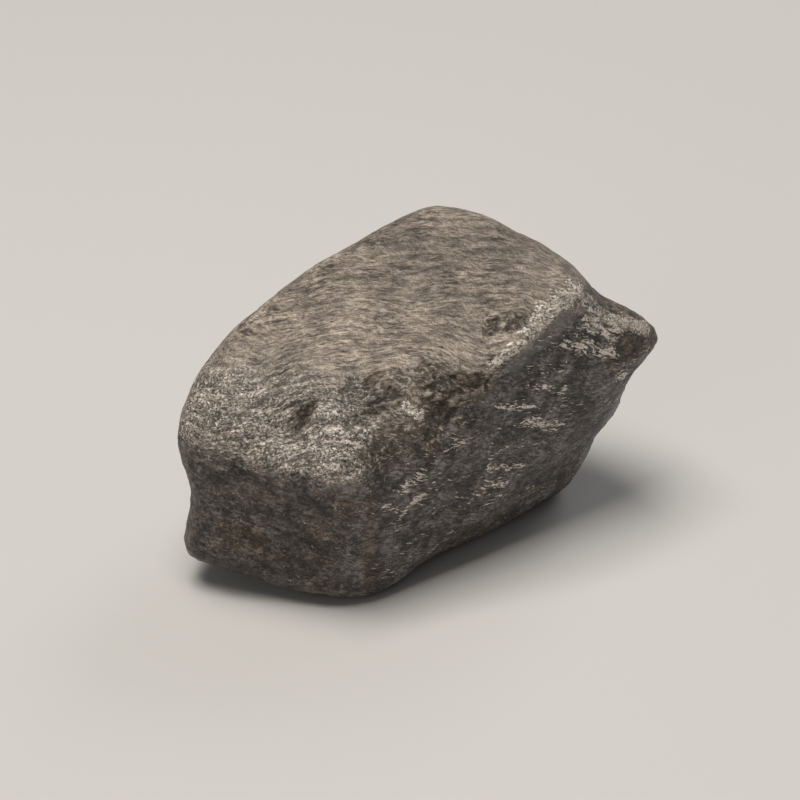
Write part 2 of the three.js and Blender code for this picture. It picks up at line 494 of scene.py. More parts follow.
def blurred(values, ends, passes):
    """Each value drawn towards the mean of its neighbours along the mesh's edges."""
    count = len(values)
    degree = np.bincount(ends.ravel(), minlength=count).astype(float)
    values = values.astype(float)
    for _ in range(passes):
        columns = values.reshape(count, -1)
        total = np.stack(
            [
                np.bincount(ends[:, 0], columns[ends[:, 1], k], count)
                + np.bincount(ends[:, 1], columns[ends[:, 0], k], count)
                for k in range(columns.shape[1])
            ],
            axis=1,
        )
        values = (0.5 * columns + 0.5 * total / degree[:, None]).reshape(values.shape)
    return values


def new_skin(sizes):
    """A fine even mesh over the frame's block, in millimetres."""
    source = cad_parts[NODE]
    skin = bpy.data.objects.new("diamond_skin", source.data.copy())
    bpy.context.scene.collection.objects.link(skin)
    skin.data.materials.clear()
    make_active(skin)
    bpy.ops.object.mode_set(mode="EDIT")
    bpy.ops.mesh.select_all(action="SELECT")
    bpy.ops.mesh.remove_doubles(threshold=2e-6)
    bpy.ops.transform.resize(value=(1 / MM, 1 / MM, 1 / MM), center_override=(0, 0, 0))
    bpy.ops.object.mode_set(mode="OBJECT")
    remesh = skin.modifiers.new("even_mesh", "REMESH")
    remesh.mode = "VOXEL"
    remesh.voxel_size = sizes.grain / MM
    smooth = skin.modifiers.new("soften_facets", "SMOOTH")
    smooth.factor = 0.5
    smooth.iterations = SOFTEN_PASSES
    for name in ("even_mesh", "soften_facets"):
        bpy.ops.object.modifier_apply(modifier=name)
    return skin


def top_flow(points):
    """Coordinates along and across the top's strokes, which follow their grain and then the bends."""
    flow = in_frame(points, TOP_GRAIN, TOP_FACE)
    along = flow[:, 0].copy()
    for middle, reach, slope in BENDS.values():
        away = np.linalg.norm(points - np.array(middle), axis=1) / reach
        centre = in_frame(np.array(middle), TOP_GRAIN, TOP_FACE)
        flow[:, 1] -= slope * (along - centre[0]) * np.exp(-(away**2))
    flow[:, 1] += swells(points, FLOW_WANDER)
    return flow


def top_relief(flow):
    """Low terraces and a fine ripple that follow the strokes."""
    terraces = broken(flow, (2.2, 0.75, 1.5), 0.075, 15.0)
    ripple = swell(flow, (1.1, 0.30, 0.6), 21.0)
    grit = swell(flow, (0.45, 0.24, 0.3), 27.0)
    return terraces + TOP_RIPPLE * ripple + TOP_GRIT * grit


def side_relief(points, grain, face, spacing, offset):
    """Thin broken ledges along a side face's grain, with scales between them."""
    local = in_frame(points, grain, face)
    wander = 0.9 * swell(points, 1.6, offset) + 0.4 * swell(points, 0.45, offset + 2.0)
    steps = ledges(local[:, 1] / spacing + wander, 0.18)
    patches = smooth_step(swell(local, (1.5, 0.55, 1.2), offset + 9.0), 0.0, 0.35)
    scales = broken(local, (0.95, 0.42, 0.7), 0.06, offset + 4.0)
    grit = swell(local, (0.5, 0.26, 0.3), offset + 6.0)
    return STEP_HEIGHT * steps * patches + scales + SIDE_GRIT * grit


def carve(points):
    """How far the pits sink the skin, and how far each point lies in one."""
    depth = np.zeros(len(points))
    floor = np.zeros(len(points))
    ragged = swells(points, ((PIT_RAGGED, 0.7, 3.1), (PIT_CRUMBLE, 0.3, 7.7)))
    for place in PITS.values():
        near = within(points, place, PIT_RAGGED + PIT_CRUMBLE) > 0
        inside = smooth_step(within(points[near], place, ragged[near]), 0.0, 1.0)
        rubble = broken(points[near], 0.7, 0.9, 5.0)
        depth[near] = np.maximum(depth[near], place[3] * inside * (1 + rubble))
        floor[near] = np.maximum(floor[near], inside)
    return depth, floor


def raise_plates(points):
    """How far the smooth plates stand proud of the skin, before the faces below their edge are left out."""
    ragged = swells(points, ((0.4, 0.5, 1.3), (0.3, 0.2, 5.9)))
    proud = np.zeros(len(points))
    for place in PLATES.values():
        inside = smooth_step(within(points, place, ragged), 0.35, 0.65)
        proud = np.maximum(proud, place[3] * inside)
    return proud


def face_shares(points, lie, ends):
    """How far each point belongs to the top, the right front face, the left front face and the back."""
    upturn = lie[:, 2] + swells(points, ((0.10, 1.5, 4.0), (0.06, 0.5, 14.0)))
    behind_crown = smooth_step(points[:, 0], *CROWN_END)
    # The upward-facing top takes the frosted colour, which is partly a painted sheen.
    top = blurred(smooth_step(upturn, *TOP_TURN), ends, RIM_PASSES) * (1 - behind_crown)
    top = np.maximum(top, patch_field(points, PALE))
    # The chips take the sides' darker skin, here also as painted shade.
    top = np.minimum(top, 1 - patch_field(points, CHIPS))
    right = smooth_step(lie @ np.array(RIGHT_FACE), *RIGHT_TURN)
    left = smooth_step(lie @ np.array(LEFT_FACE), *LEFT_TURN) * (1 - right)
    back = (1 - top) * (1 - right) * (1 - left)
    return top, right, left, back


def shape_skin(skin, sizes):
    """Moves the skin in and out by its relief and stores the masks that its material reads."""
    noise.seed_set(LEAN_SEED)
    mesh = skin.data
    ends = edge_ends(mesh)
    points = read_points(mesh)
    lie = blurred(read_normals(mesh), ends, LIE_PASSES)
    lie /= np.linalg.norm(lie, axis=1)[:, None]
    bulge = ((points - blurred(points, ends, BULGE_PASSES)) * lie).sum(1)

    fade = smooth_step(points[:, 2], REST_EDGE, sizes.rest_band / MM)
    top, right, left, back = face_shares(points, lie, ends)
    brow = smooth_step(points[:, 2], *BROW_HEIGHT) * smooth_step(points[:, 0], *BROW_END)

    flow = top_flow(points)
    height = swells(points, SWELLS)
    height += WEAR_RISE * bulge
    height += top * top_relief(flow)
    for share, steps in zip((right, left, back), SIDE_STEPS.values()):
        height += share * side_relief(points, *steps)
    worn = smooth_step(bulge, *WORN_BULGE) * smooth_step(swell(points, 0.9, 61.0), 0.1, 0.5)
    height -= worn * (WORN_DEPTH + broken(points, 0.6, 0.12, 63.0))
    scar = patch_field(points, SCARS)
    height += scar * broken(flow, (0.8, 0.35, 0.5), SCAR_TILT, 71.0)
    depth, floor = carve(points)
    upper = smooth_step(lie[:, 2], *UPPER_TURN)
    height += upper * raise_plates(points) - depth
    points = points + lie * (height * fade * sizes.relief)[:, None]
    points[:, 2] = np.maximum(points[:, 2], 0.0)
    write_points(mesh, points)

    fine_bulge = ((points - blurred(points, ends, FINE_BULGE_PASSES)) * lie).sum(1)
    full_plates = {name: (*place[:3], 1.0) for name, place in PLATES.items()}
    plate = np.maximum(upper * patch_field(points, full_plates), patch_field(points, PALE))
    write_flow(mesh, "top_flow", flow)
    masks = {
        "top": top,
        "right_side": right,
        "brow": brow,
        # The edge mask places a painted highlight on the block's edges.
        "edge": smooth_step(bulge, *EDGE_BULGE),
        # Painted shade, tinted brown, in the pits' floors and the dents.
        "hollow": np.maximum(floor, smooth_step(-fine_bulge, *HOLLOW_DEPTH)),
        # The crest mask places a painted highlight on fine crests.
        "crest": smooth_step(fine_bulge, *CREST_HEIGHT),
        "plate": plate,
        "scar": scar,
        "flaked": patch_field(points, FLAKES),
        "flecked": patch_field(points, FLECKS),
        "stained": patch_field(points, STAINS),
        "blue": patch_field(points, BLUES),
        "streaked": patch_field(points, STREAKS),
    }
    for name, values in masks.items():
        write_mask(mesh, name, values)


def shrink_to_metres(skin):
    make_active(skin)
    bpy.ops.object.mode_set(mode="EDIT")
    bpy.ops.mesh.select_all(action="SELECT")
    bpy.ops.transform.resize(value=(MM, MM, MM), center_override=(0, 0, 0))
    bpy.ops.object.mode_set(mode="OBJECT")
    bpy.ops.object.shade_smooth()


# ---------------------------------------------------------------- materials


# Stroke patterns: how many to the millimetre along and across, how far they wander, and their lines' width.
STROKES = {
    "hatch": {"Scale": (2.2, 10.0, 10.0), "Wander": 0.12},
    "cross": {"Scale": (2.6, 9.0, 9.0), "Wander": 0.3},
    "broad": {"Scale": (0.7, 3.6, 3.6), "Wander": 0.25},
    "brow": {"Scale": (1.6, 4.4, 4.4), "Wander": 0.5, "Line_Width": 0.030},
    "speckle": {"Scale": (7.0, 7.0, 7.0), "Wander": 0.3, "Line_Width": 0.016},
    "right": {"Scale": (2.6, 7.5, 7.5), "Wander": 0.5},
    "left": {"Scale": (3.4, 6.5, 6.5), "Wander": 1.0},
    "scratches": {"Scale": (0.7, 2.2, 2.2), "Wander": 0.8, "Line_Width": 0.007},
    "flakes": {"Scale": (1.3, 7.0, 7.0), "Wander": 0.5},
    "scar": {"Scale": (2.6, 8.0, 8.0), "Wander": 0.5, "Line_Width": 0.02},
}
CROSS_TURN = math.radians(28)  # of the cross strokes against the hatch
FLECK_SCALE = (1.9, 10.5, 10.5)
FIBRE_SCALE = (1.6, 4.5, 4.5)
CLUSTER_SCALE = (0.5, 1.0, 1.0)

# Patches that come and go: the scale of their noise, and its values where they start and are full.
COVERS = {
    "crossed": {"Scale": 0.7, "Low": 0.44, "High": 0.58},
    "clusters": {"Scale": 0.5, "Low": 0.51, "High": 0.60},
    "brow": {"Scale": 0.6, "Low": 0.24, "High": 0.42},
    "stain": {"Scale": 0.45, "Low": 0.52, "High": 0.66},
    "mottle": {"Scale": 1.5, "Low": 0.50, "High": 0.64},
}

# How a soft mask's edge crumbles: how far its coarse and fine noise shift it, and how soft it stays.
CRUMBLES = {
    "plate": {"Coarse": 2.0, "Fine": 3.0, "Softness": 0.14},
    "blue": {"Coarse": 1.0, "Fine": 1.0, "Softness": 0.3},
    "stain": {"Coarse": 1.6, "Fine": 2.5, "Softness": 0.3},
    "rim": {"Scale": 0.9, "Coarse": 1.4, "Fine": 1.6, "Softness": 0.22},
    "scar": {"Scale": 1.0, "Coarse": 1.8, "Fine": 2.5, "Softness": 0.25},
    "hollow": {"Scale": 1.2, "Coarse": 1.5, "Fine": 3.0, "Softness": 0.45},
}
PLATE_CUT = 3.6  # how deeply the top's strokes cut the edges of the plates
RIM_CUT = 2.2  # and the border between the top and the sides

# How far each pattern lightens and darkens the skin: its low and high values, and the skin's tones there.
# The fibres' tones are added to 1, and the clusters raise and lower the noise of the flecks.
TONES = {
    "strokes": (0.37, 0.63, 0.56, 1.38),
    "cloud": (0.38, 0.62, 0.84, 1.14),
    "grit": (0.35, 0.65, 0.78, 1.22),
    # crown: painted sheen and shade on the top by height, lighter low by the brow and darker at the crown
    "crown": (12.5, 16.5, 1.16, 0.80),
    "broad": (0.38, 0.62, 0.70, 1.26),
    "plate_grit": (0.35, 0.65, 0.82, 1.18),
    "plate_broad": (0.4, 0.6, 0.62, 1.25),
    "side_strokes": (0.40, 0.60, 0.42, 1.62),
    "side_cloud": (0.38, 0.62, 0.55, 1.42),
    "side_blotches": (0.42, 0.58, 0.78, 1.26),
    "fibres": (0.40, 0.60, -0.26, 0.28),
    "flecks": (0.36, 0.58, 0.35, 1.0),
    "clusters": (0.42, 0.60, -0.09, 0.02),
}
SIDE_GRIT_LOW = (0.72, 0.86)  # tone of the darkest grit, on the left and on the right
SIDE_GRIT_HIGH = (1.28, 1.14)  # tone of the lightest grit

# How much of its own colour each mark lays over the skin, where 1 hides the skin.
COVERING = {
    "cross_strokes": 0.65,
    "streaks": 0.8,
    "fine_streaks": 0.7,
    "plate_glints": 0.45,
    "bright_plate": 0.95,
    "plate_gaps": 0.92,
    "wide_plate_gaps": 0.9,
    "right_blue": 0.8,
    "stain": 0.70,
    "loose_stain": 0.6,
    "mottle": 0.35,
    "scratches": 0.45,
    "dim_flecks": 0.5,
    "dots": 0.7,
    "scar_strokes": 0.65,
    "scar_lines": 0.8,
    # painted highlight on the block's edges
    "edge_highlight": 0.12,
    # painted highlight on fine crests
    "crest": 0.30,
    # painted shade in the pits and dents
    "hollow": 0.8,
}
NAMED_STREAKS = 0.9  # how surely dark strokes gather in the named patches
NAMED_FLECKS = 0.21  # how far the named rows raise the noise of the flecks
NAMED_FLAKES = 0.215  # how far the named patches raise the noise of the flakes
LEFT_FLECKS = -0.06  # how far it is lowered away from the right face
CALM = 0.55  # how much of the sides' pattern the smooth blue-grey skin hides
PLATE_GLOSS = (0.15, 0.6)  # gloss of the brow's plates, and how much more the ridge's plates have
ROUGHNESS = (0.48, 0.30)  # of frosted and of glossy skin
BUMP_DEPTH = 0.0001


class Nodes:
    """Adds nodes to a tree and links their inputs by name."""

    def __init__(self, tree):
        self.tree = tree
        tree.nodes.clear()

    def add(self, kind, settings=None, **inputs):
        node = self.tree.nodes.new(kind)
        for key, value in (settings or {}).items():
            setattr(node, key, value)
        for key, value in inputs.items():
            self.feed(node.inputs[key.replace("_", " ")], value)
        return node

    def feed(self, socket, value):
        if isinstance(value, bpy.types.NodeSocket):
            self.tree.links.new(value, socket)
        elif isinstance(value, bpy.types.Node):
            self.tree.links.new(value.outputs[0], socket)
        else:
            socket.default_value = value

    def mix(self, share, first, second, blend="MIX"):
        node = self.tree.nodes.new("ShaderNodeMix")
        node.data_type = "RGBA"
        node.blend_type = blend
        self.feed(node.inputs[0], share)
        self.feed(node.inputs[6], first)
        self.feed(node.inputs[7], second)
        return node.outputs[2]

    def maths(self, operation, *values, clamp=False):
        node = self.tree.nodes.new("ShaderNodeMath")
        node.operation = operation
        node.use_clamp = clamp
        for socket, value in zip(node.inputs, values):
            self.feed(socket, value)
        return node.outputs[0]

    def times(self, first, second):
        return self.maths("MULTIPLY", first, second)

    def plus(self, first, second):
        return self.maths("ADD", first, second)

    def inverse(self, value):
        return self.maths("SUBTRACT", 1.0, value)

    def vector(self, operation, first, second):
        node = self.tree.nodes.new("ShaderNodeVectorMath")
        node.operation = operation
        self.feed(node.inputs[0], first)
        self.feed(node.inputs["Scale"] if operation == "SCALE" else node.inputs[1], second)
        return node.outputs[0]

    def turn(self, position, rotation):
        node = self.add("ShaderNodeMapping", {"vector_type": "POINT"}, Vector=position, Rotation=rotation)
        return node.outputs[0]

    def noise(self, position, scale, detail=3.0, roughness=0.55):
        values = {"Vector": position, "Scale": scale, "Detail": detail, "Roughness": roughness}
        return self.add("ShaderNodeTexNoise", **values).outputs["Fac"]

    def ramp(self, value, low, high, to_low=0.0, to_high=1.0):
        node = self.add(
            "ShaderNodeMapRange",
            {"interpolation_type": "SMOOTHSTEP"},
            Value=value,
            From_Min=low,
            From_Max=high,
            To_Min=to_low,
            To_Max=to_high,
        )
        return node.outputs[0]

    def mask(self, name):
        return self.add("ShaderNodeAttribute", {"attribute_name": name}).outputs["Fac"]

    def group(self, tree, **inputs):
        return self.add("ShaderNodeGroup", {"node_tree": tree}, **inputs).outputs


def new_group(name, inputs, outputs):
    group = bpy.data.node_groups.new(name, "ShaderNodeTree")
    kinds = {"vector": "NodeSocketVector", "value": "NodeSocketFloat"}
    for label, kind, default in inputs:
        socket = group.interface.new_socket(name=label, in_out="INPUT", socket_type=kinds[kind])
        socket.default_value = default
    for label, kind in outputs:
        group.interface.new_socket(name=label, in_out="OUTPUT", socket_type=kinds[kind])
    return group


def stroke_group():
    """Short etched strokes along X: a wavy height, its dark and light strokes, and thin lines between."""
    group = new_group(
        "etched_strokes",
        [
            ("Position", "vector", (0, 0, 0)),
            ("Scale", "vector", (2, 8, 8)),
            ("Wander", "value", 0.1),
            ("Line Width", "value", 0.03),
        ],
        [("Waves", "value"), ("Dark", "value"), ("Light", "value"), ("Lines", "value")],
    )
    n = Nodes(group)
    given = n.add("NodeGroupInput").outputs
    drift = n.add("ShaderNodeTexNoise", Vector=given["Position"], Scale=1.7, Detail=2.0).outputs["Color"]
    centred = n.vector("SUBTRACT", drift, (0.5, 0.5, 0.5))
    moved = n.vector("ADD", given["Position"], n.vector("SCALE", centred, given["Wander"]))
    waves = n.noise(n.vector("MULTIPLY", moved, given["Scale"]), 1.0, 3.0, 0.6)
    off_middle = n.maths("ABSOLUTE", n.maths("SUBTRACT", waves, 0.5))
    n.add(
        "NodeGroupOutput",
        Waves=waves,
        Dark=n.ramp(waves, 0.44, 0.37),
        Light=n.ramp(waves, 0.54, 0.62),
        Lines=n.inverse(n.ramp(off_middle, 0.0, given["Line Width"])),
    )
    return group


def patch_group():
    """Ragged patches: 1 inside, 0 outside."""
    group = new_group(
        "ragged_patches",
        [
            ("Position", "vector", (0, 0, 0)),
            ("Scale", "value", 1.0),
            ("Low", "value", 0.5),
            ("High", "value", 0.6),
        ],
        [("Patches", "value")],
    )
    n = Nodes(group)
    given = n.add("NodeGroupInput").outputs
    lumps = n.noise(given["Position"], given["Scale"], 5.0, 0.6)
    n.add("NodeGroupOutput", Patches=n.ramp(lumps, given["Low"], given["High"]))
    return group


def edge_group():
    """Turns a soft mask into one with a ragged edge that crumbles at a coarse and a fine scale."""
    group = new_group(
        "ragged_edge",
        [
            ("Mask", "value", 0.0),
            ("Position", "vector", (0, 0, 0)),
            ("Scale", "value", 1.2),
            ("Coarse", "value", 1.5),
            ("Fine", "value", 2.0),
            ("Softness", "value", 0.1),
            ("Strokes", "value", 0.0),
        ],
        [("Mask", "value")],
    )
    n = Nodes(group)
    given = n.add("NodeGroupInput").outputs
    lumps = n.maths("SUBTRACT", n.noise(given["Position"], given["Scale"], 2.0), 0.5)
    crumbs = n.maths("SUBTRACT", n.noise(given["Position"], n.times(given["Scale"], 5.0), 3.0, 0.6), 0.5)
    shift = n.plus(n.times(lumps, given["Coarse"]), n.times(crumbs, given["Fine"]))
    shift = n.plus(shift, given["Strokes"])
    moved = n.plus(given["Mask"], n.times(shift, n.ramp(given["Mask"], 0.0, 0.25)))
    low = n.maths("SUBTRACT", 0.5, given["Softness"])
    n.add("NodeGroupOutput", Mask=n.ramp(moved, low, n.plus(given["Softness"], 0.5)))
    return group


def rgb(colour):
    return (*colour, 1.0)


def top_tone(n, place, hatch, cross, broad, grit, patches):
    """How light the frosted top is: its strokes, crossed in patches, its grit, and a painted sheen and shade
    by height, lighter low by the brow and darker at the crown.
    """
    cloud = n.noise(place, 0.45, 3.0)
    crossed = n.group(patches, Position=place, **COVERS["crossed"])[0]
    waves = n.mix(n.times(crossed, COVERING["cross_strokes"]), hatch["Waves"], cross["Waves"])
    tone = n.ramp(waves, *TONES["strokes"])
    tone = n.times(tone, n.ramp(cloud, *TONES["cloud"]))
    tone = n.times(tone, n.ramp(grit, *TONES["grit"]))
    # Painted sheen and shade by height: lighter low by the brow, darker at the crown.
    height = n.add("ShaderNodeSeparateXYZ", Vector=place).outputs["Z"]
    tone = n.times(tone, n.ramp(height, *TONES["crown"]))
    return n.times(tone, n.ramp(broad["Waves"], *TONES["broad"]))


def top_skin(n, place, flow, colours, groups):
    """The frosted top, lighter partly as a painted sheen: etched strokes, and plates split by wandering
    lines near its brow and ridge, painted bright as highlights.
    """
    strokes, patches, ragged = groups
    hatch = n.group(strokes, Position=flow, **STROKES["hatch"])
    broad = n.group(strokes, Position=flow, **STROKES["broad"])
    brow = n.group(strokes, Position=flow, **STROKES["brow"])
    speckle = n.group(strokes, Position=place, **STROKES["speckle"])
    cross = n.group(strokes, Position=n.turn(flow, (0.0, 0.0, CROSS_TURN)), **STROKES["cross"])
    grit = n.noise(place, 12.0, 2.0)

    tone = top_tone(n, place, hatch, cross, broad, grit, patches)
    # The frosted top's colour, lighter than the sides partly as a painted sheen.
    frosted = n.vector("SCALE", tuple(colours.frost_and_sheen), tone)
    clusters = n.group(patches, Position=flow, **COVERS["clusters"])[0]
    streaked = n.maths("MINIMUM", n.plus(n.times(n.mask("streaked"), NAMED_STREAKS), clusters), 1.0)
    fine_streaks = n.times(hatch["Dark"], COVERING["fine_streaks"])
    streaks = n.times(streaked, n.maths("MAXIMUM", broad["Dark"], fine_streaks))

    plate_tone = n.ramp(grit, *TONES["plate_grit"])
    plate_tone = n.times(plate_tone, n.ramp(broad["Waves"], *TONES["plate_broad"]))
    plated = n.vector("SCALE", tuple(colours.plate), plate_tone)
    # Painted glints on the brow's plates, in the fleck colour.
    plated = n.mix(n.times(speckle["Light"], COVERING["plate_glints"]), plated, rgb(colours.fleck))
    cut = n.times(n.maths("SUBTRACT", hatch["Waves"], 0.5), PLATE_CUT)
    crumble = CRUMBLES["plate"]
    plate_edge = n.group(ragged, Mask=n.mask("plate"), Position=flow, Strokes=cut, **crumble)[0]
    # The ridge's plates and the pale bands, painted bright as highlights in the fleck colour.
    plated = n.mix(n.times(plate_edge, COVERING["bright_plate"]), plated, rgb(colours.fleck))
    fine_split = n.maths("MAXIMUM", brow["Lines"], n.maths("MAXIMUM", speckle["Dark"], speckle["Lines"]))
    fine_split = n.times(fine_split, n.ramp(plate_edge, 0.0, 1.0, 1.0, 0.88))
    split = n.maths("MAXIMUM", fine_split, n.times(brow["Dark"], COVERING["wide_plate_gaps"]))
    plated = n.mix(n.times(split, COVERING["plate_gaps"]), plated, rgb(colours.groove))

    brow_cover = n.group(patches, Position=place, **COVERS["brow"])[0]
    # The brow's plated zone, lighter than the frosted skin as a painted highlight.
    plated_zone = n.maths("MAXIMUM", n.times(n.mask("brow"), brow_cover), plate_edge)
    colour = n.mix(plated_zone, frosted, plated)
    colour = n.mix(n.times(streaks, COVERING["streaks"]), colour, rgb(colours.groove))
    shine = n.times(plated_zone, n.inverse(split))
    height = n.plus(hatch["Waves"], n.times(grit, 0.3))
    height = n.maths("SUBTRACT", height, n.times(n.times(split, plated_zone), 0.5))
    return colour, shine, height, plate_edge, hatch["Waves"]


def side_base(n, place, right, blue, colours, groups):
    """Colour of the sides before their marks: dark, bluer on the right and where smooth, with stains."""
    _, patches, ragged = groups
    base = n.mix(n.times(right, COVERING["right_blue"]), rgb(colours.side), rgb(colours.blue))
    base = n.mix(blue, base, rgb(colours.bevel))
    stain_patch = n.group(patches, Position=place, **COVERS["stain"])[0]
    stained = n.group(ragged, Mask=n.mask("stained"), Position=place, **CRUMBLES["stain"])[0]
    loose_stain = n.times(stain_patch, n.times(n.inverse(blue), COVERING["loose_stain"]))
    stain = n.maths("MAXIMUM", stained, loose_stain)
    return n.mix(n.times(stain, COVERING["stain"]), base, rgb(colours.stain))


def side_tone(n, place, left_place, waves, grit, right):
    """How light the sides are: strokes, grit that is fainter on the right, blotches, fibres on the left."""
    cloud = n.noise(place, 0.8, 4.0, 0.6)
    blotches = n.noise(place, 1.6, 6.0, 0.75)
    grit_low = n.ramp(right, 0.0, 1.0, *SIDE_GRIT_LOW)
    grit_high = n.ramp(right, 0.0, 1.0, *SIDE_GRIT_HIGH)
    tone = n.ramp(waves, *TONES["side_strokes"])
    tone = n.times(tone, n.ramp(grit, 0.36, 0.64, grit_low, grit_high))
    tone = n.times(tone, n.ramp(cloud, *TONES["side_cloud"]))
    tone = n.times(tone, n.ramp(blotches, *TONES["side_blotches"]))
    fibres = n.noise(n.vector("MULTIPLY", left_place, FIBRE_SCALE), 1.0, 4.0, 0.7)
    fibre_tone = n.times(n.ramp(fibres, *TONES["fibres"]), n.inverse(right))
    return n.times(tone, n.plus(1.0, fibre_tone))


def fleck_level(n, place, right_place, right, rough):
    """How close each place is to a fleck: short marks of noise, raised in the named rows and clusters."""
    drift = n.add("ShaderNodeTexNoise", Vector=place, Scale=1.1, Detail=1.0).outputs["Color"]
    drifted = n.vector("ADD", right_place, n.vector("SCALE", drift, 0.5))
    marks = n.noise(n.vector("MULTIPLY", drifted, FLECK_SCALE), 1.0, 2.5, 0.5)
    cluster = n.noise(n.vector("MULTIPLY", right_place, CLUSTER_SCALE), 1.0, 2.0)
    near = n.plus(n.times(n.mask("flecked"), NAMED_FLECKS), n.ramp(cluster, *TONES["clusters"]))
    near = n.plus(near, n.times(n.inverse(right), LEFT_FLECKS))
    return n.plus(marks, n.times(near, rough))


def side_skin(n, place, colours, groups):
    """The darker side faces: fine strokes, stains, smooth blue-grey spots, and flecks and flakes painted
    bright as glints.
    """
    strokes, patches, ragged = groups
    right_place = n.turn(place, face_frame(RIGHT_GRAIN, RIGHT_FACE).to_euler("XYZ"))
    left_place = n.turn(place, face_frame(LEFT_GRAIN, LEFT_FACE).to_euler("XYZ"))
    flake_place = n.turn(place, face_frame(FLAKE_GRAIN, RIGHT_FACE).to_euler("XYZ"))
    right_hatch = n.group(strokes, Position=right_place, **STROKES["right"])
    left_hatch = n.group(strokes, Position=left_place, **STROKES["left"])
    right = n.mask("right_side")
    blue = n.group(ragged, Mask=n.mask("blue"), Position=place, **CRUMBLES["blue"])[0]
    calm = n.times(blue, CALM)
    rough = n.inverse(calm)
    waves = n.mix(right, left_hatch["Waves"], right_hatch["Waves"])
    grit = n.noise(place, 8.0, 3.0, 0.65)

    tone = side_tone(n, place, left_place, waves, grit, right)
    tone = n.plus(n.times(tone, rough), calm)
    skin = n.vector("SCALE", side_base(n, place, right, blue, colours, groups), tone)
    mottle = n.group(patches, Position=place, **COVERS["mottle"])[0]
    scratches = n.group(strokes, Position=left_place, **STROKES["scratches"])
    mottled = n.times(mottle, COVERING["mottle"])
    scratched = n.times(scratches["Lines"], COVERING["scratches"])
    worn = n.maths("MAXIMUM", mottled, scratched)
    skin = n.mix(n.times(worn, rough), skin, rgb(colours.scar))

    level = fleck_level(n, place, right_place, right, rough)
    dim = n.times(n.ramp(level, 0.56, 0.63), rough)
    # Flecks and flakes painted bright as glints in the fleck colour.
    bright = n.ramp(level, 0.635, 0.68)
    fleck_colour = n.vector("SCALE", tuple(colours.fleck), n.ramp(grit, *TONES["flecks"]))
    skin = n.mix(n.times(dim, COVERING["dim_flecks"]), skin, rgb(colours.tan))
    skin = n.mix(bright, skin, fleck_colour)
    flakes = n.group(strokes, Position=flake_place, **STROKES["flakes"])
    flaked = n.ramp(n.plus(flakes["Waves"], n.times(n.mask("flaked"), NAMED_FLAKES)), 0.67, 0.76)
    bright = n.maths("MAXIMUM", bright, flaked)
    skin = n.mix(flaked, skin, fleck_colour)
    dots = n.ramp(n.noise(place, 5.0, 2.0, 0.5), 0.69, 0.75)
    skin = n.mix(n.times(dots, n.times(rough, COVERING["dots"])), skin, rgb(colours.tan))
    height = n.plus(n.times(waves, rough), n.times(grit, 0.4))
    return skin, bright, n.plus(height, n.times(bright, 0.3))


def scar_skin(n, flow, colours, strokes):
    """Chipped skin: brown, with pale strokes and dark gaps."""
    marks = n.group(strokes, Position=flow, **STROKES["scar"])
    colour = n.mix(n.times(marks["Light"], COVERING["scar_strokes"]), rgb(colours.scar), rgb(colours.plate))
    gaps = n.maths("MAXIMUM", marks["Dark"], n.times(marks["Lines"], COVERING["scar_lines"]))
    return n.mix(gaps, colour, rgb(colours.groove))


def skin_material(colours):
    material = bpy.data.materials.new("diamond_skin")
    material.use_nodes = True
    n = Nodes(material.node_tree)
    groups = (stroke_group(), patch_group(), edge_group())
    strokes, _, ragged = groups

    metres = n.add("ShaderNodeTexCoord").outputs["Object"]
    place = n.vector("SCALE", metres, 1 / MM)
    flow = n.add("ShaderNodeAttribute", {"attribute_name": "top_flow"}).outputs["Vector"]
    top_colour, shine, top_height, plate_edge, top_waves = top_skin(n, place, flow, colours, groups)
    side_colour, flecks, side_height = side_skin(n, place, colours, groups)

    cut = n.times(n.maths("SUBTRACT", top_waves, 0.5), RIM_CUT)
    top = n.group(ragged, Mask=n.mask("top"), Position=place, Strokes=cut, **CRUMBLES["rim"])[0]
    top = n.maths("MAXIMUM", top, plate_edge)
    base = n.mix(top, side_colour, top_colour)
    scar = n.group(ragged, Mask=n.mask("scar"), Position=flow, **CRUMBLES["scar"])[0]
    base = n.mix(n.times(scar, n.inverse(plate_edge)), base, scar_skin(n, flow, colours, strokes))
    # Painted highlight on the block's edges, in the plate colour.
    base = n.mix(n.times(n.mask("edge"), COVERING["edge_highlight"]), base, rgb(colours.plate))
    # Painted highlight on fine crests, in the plate colour.
    base = n.mix(n.times(n.mask("crest"), COVERING["crest"]), base, rgb(colours.plate))
    # Painted shade, tinted brown, in the pits' floors and the dents.
    hollow = n.group(ragged, Mask=n.mask("hollow"), Position=flow, **CRUMBLES["hollow"])[0]
    darkened = n.mix(1.0, base, rgb(colours.pit), "MULTIPLY")
    base = n.mix(n.times(hollow, COVERING["hollow"]), base, darkened)

    sheen = n.plus(PLATE_GLOSS[0], n.times(plate_edge, PLATE_GLOSS[1]))
    gloss = n.maths("MAXIMUM", n.times(n.times(shine, top), sheen), n.times(flecks, n.inverse(top)))
    height = n.mix(top, side_height, top_height)
    shader = n.add(
        "ShaderNodeBsdfPrincipled",
        Base_Color=base,
        Roughness=n.ramp(gloss, 0.0, 1.0, *ROUGHNESS),
        Normal=n.add("ShaderNodeBump", Height=height, Strength=1.0, Distance=BUMP_DEPTH),
        IOR=1.6,
        Specular_IOR_Level=0.25,
        Coat_Weight=gloss,
        Coat_Roughness=0.32,
        Coat_IOR=1.9,
    )
    n.add("ShaderNodeOutputMaterial", Surface=shader)
    return material


def floor_material(colour):
    material = bpy.data.materials.new("studio_floor")
    material.use_nodes = True
    n = Nodes(material.node_tree)
    shader = n.add("ShaderNodeBsdfPrincipled", Base_Color=rgb(colour), Roughness=0.7, IOR=1.4)
    n.add("ShaderNodeOutputMaterial", Surface=shader)
    return material


# ---------------------------------------------------------------- the stage


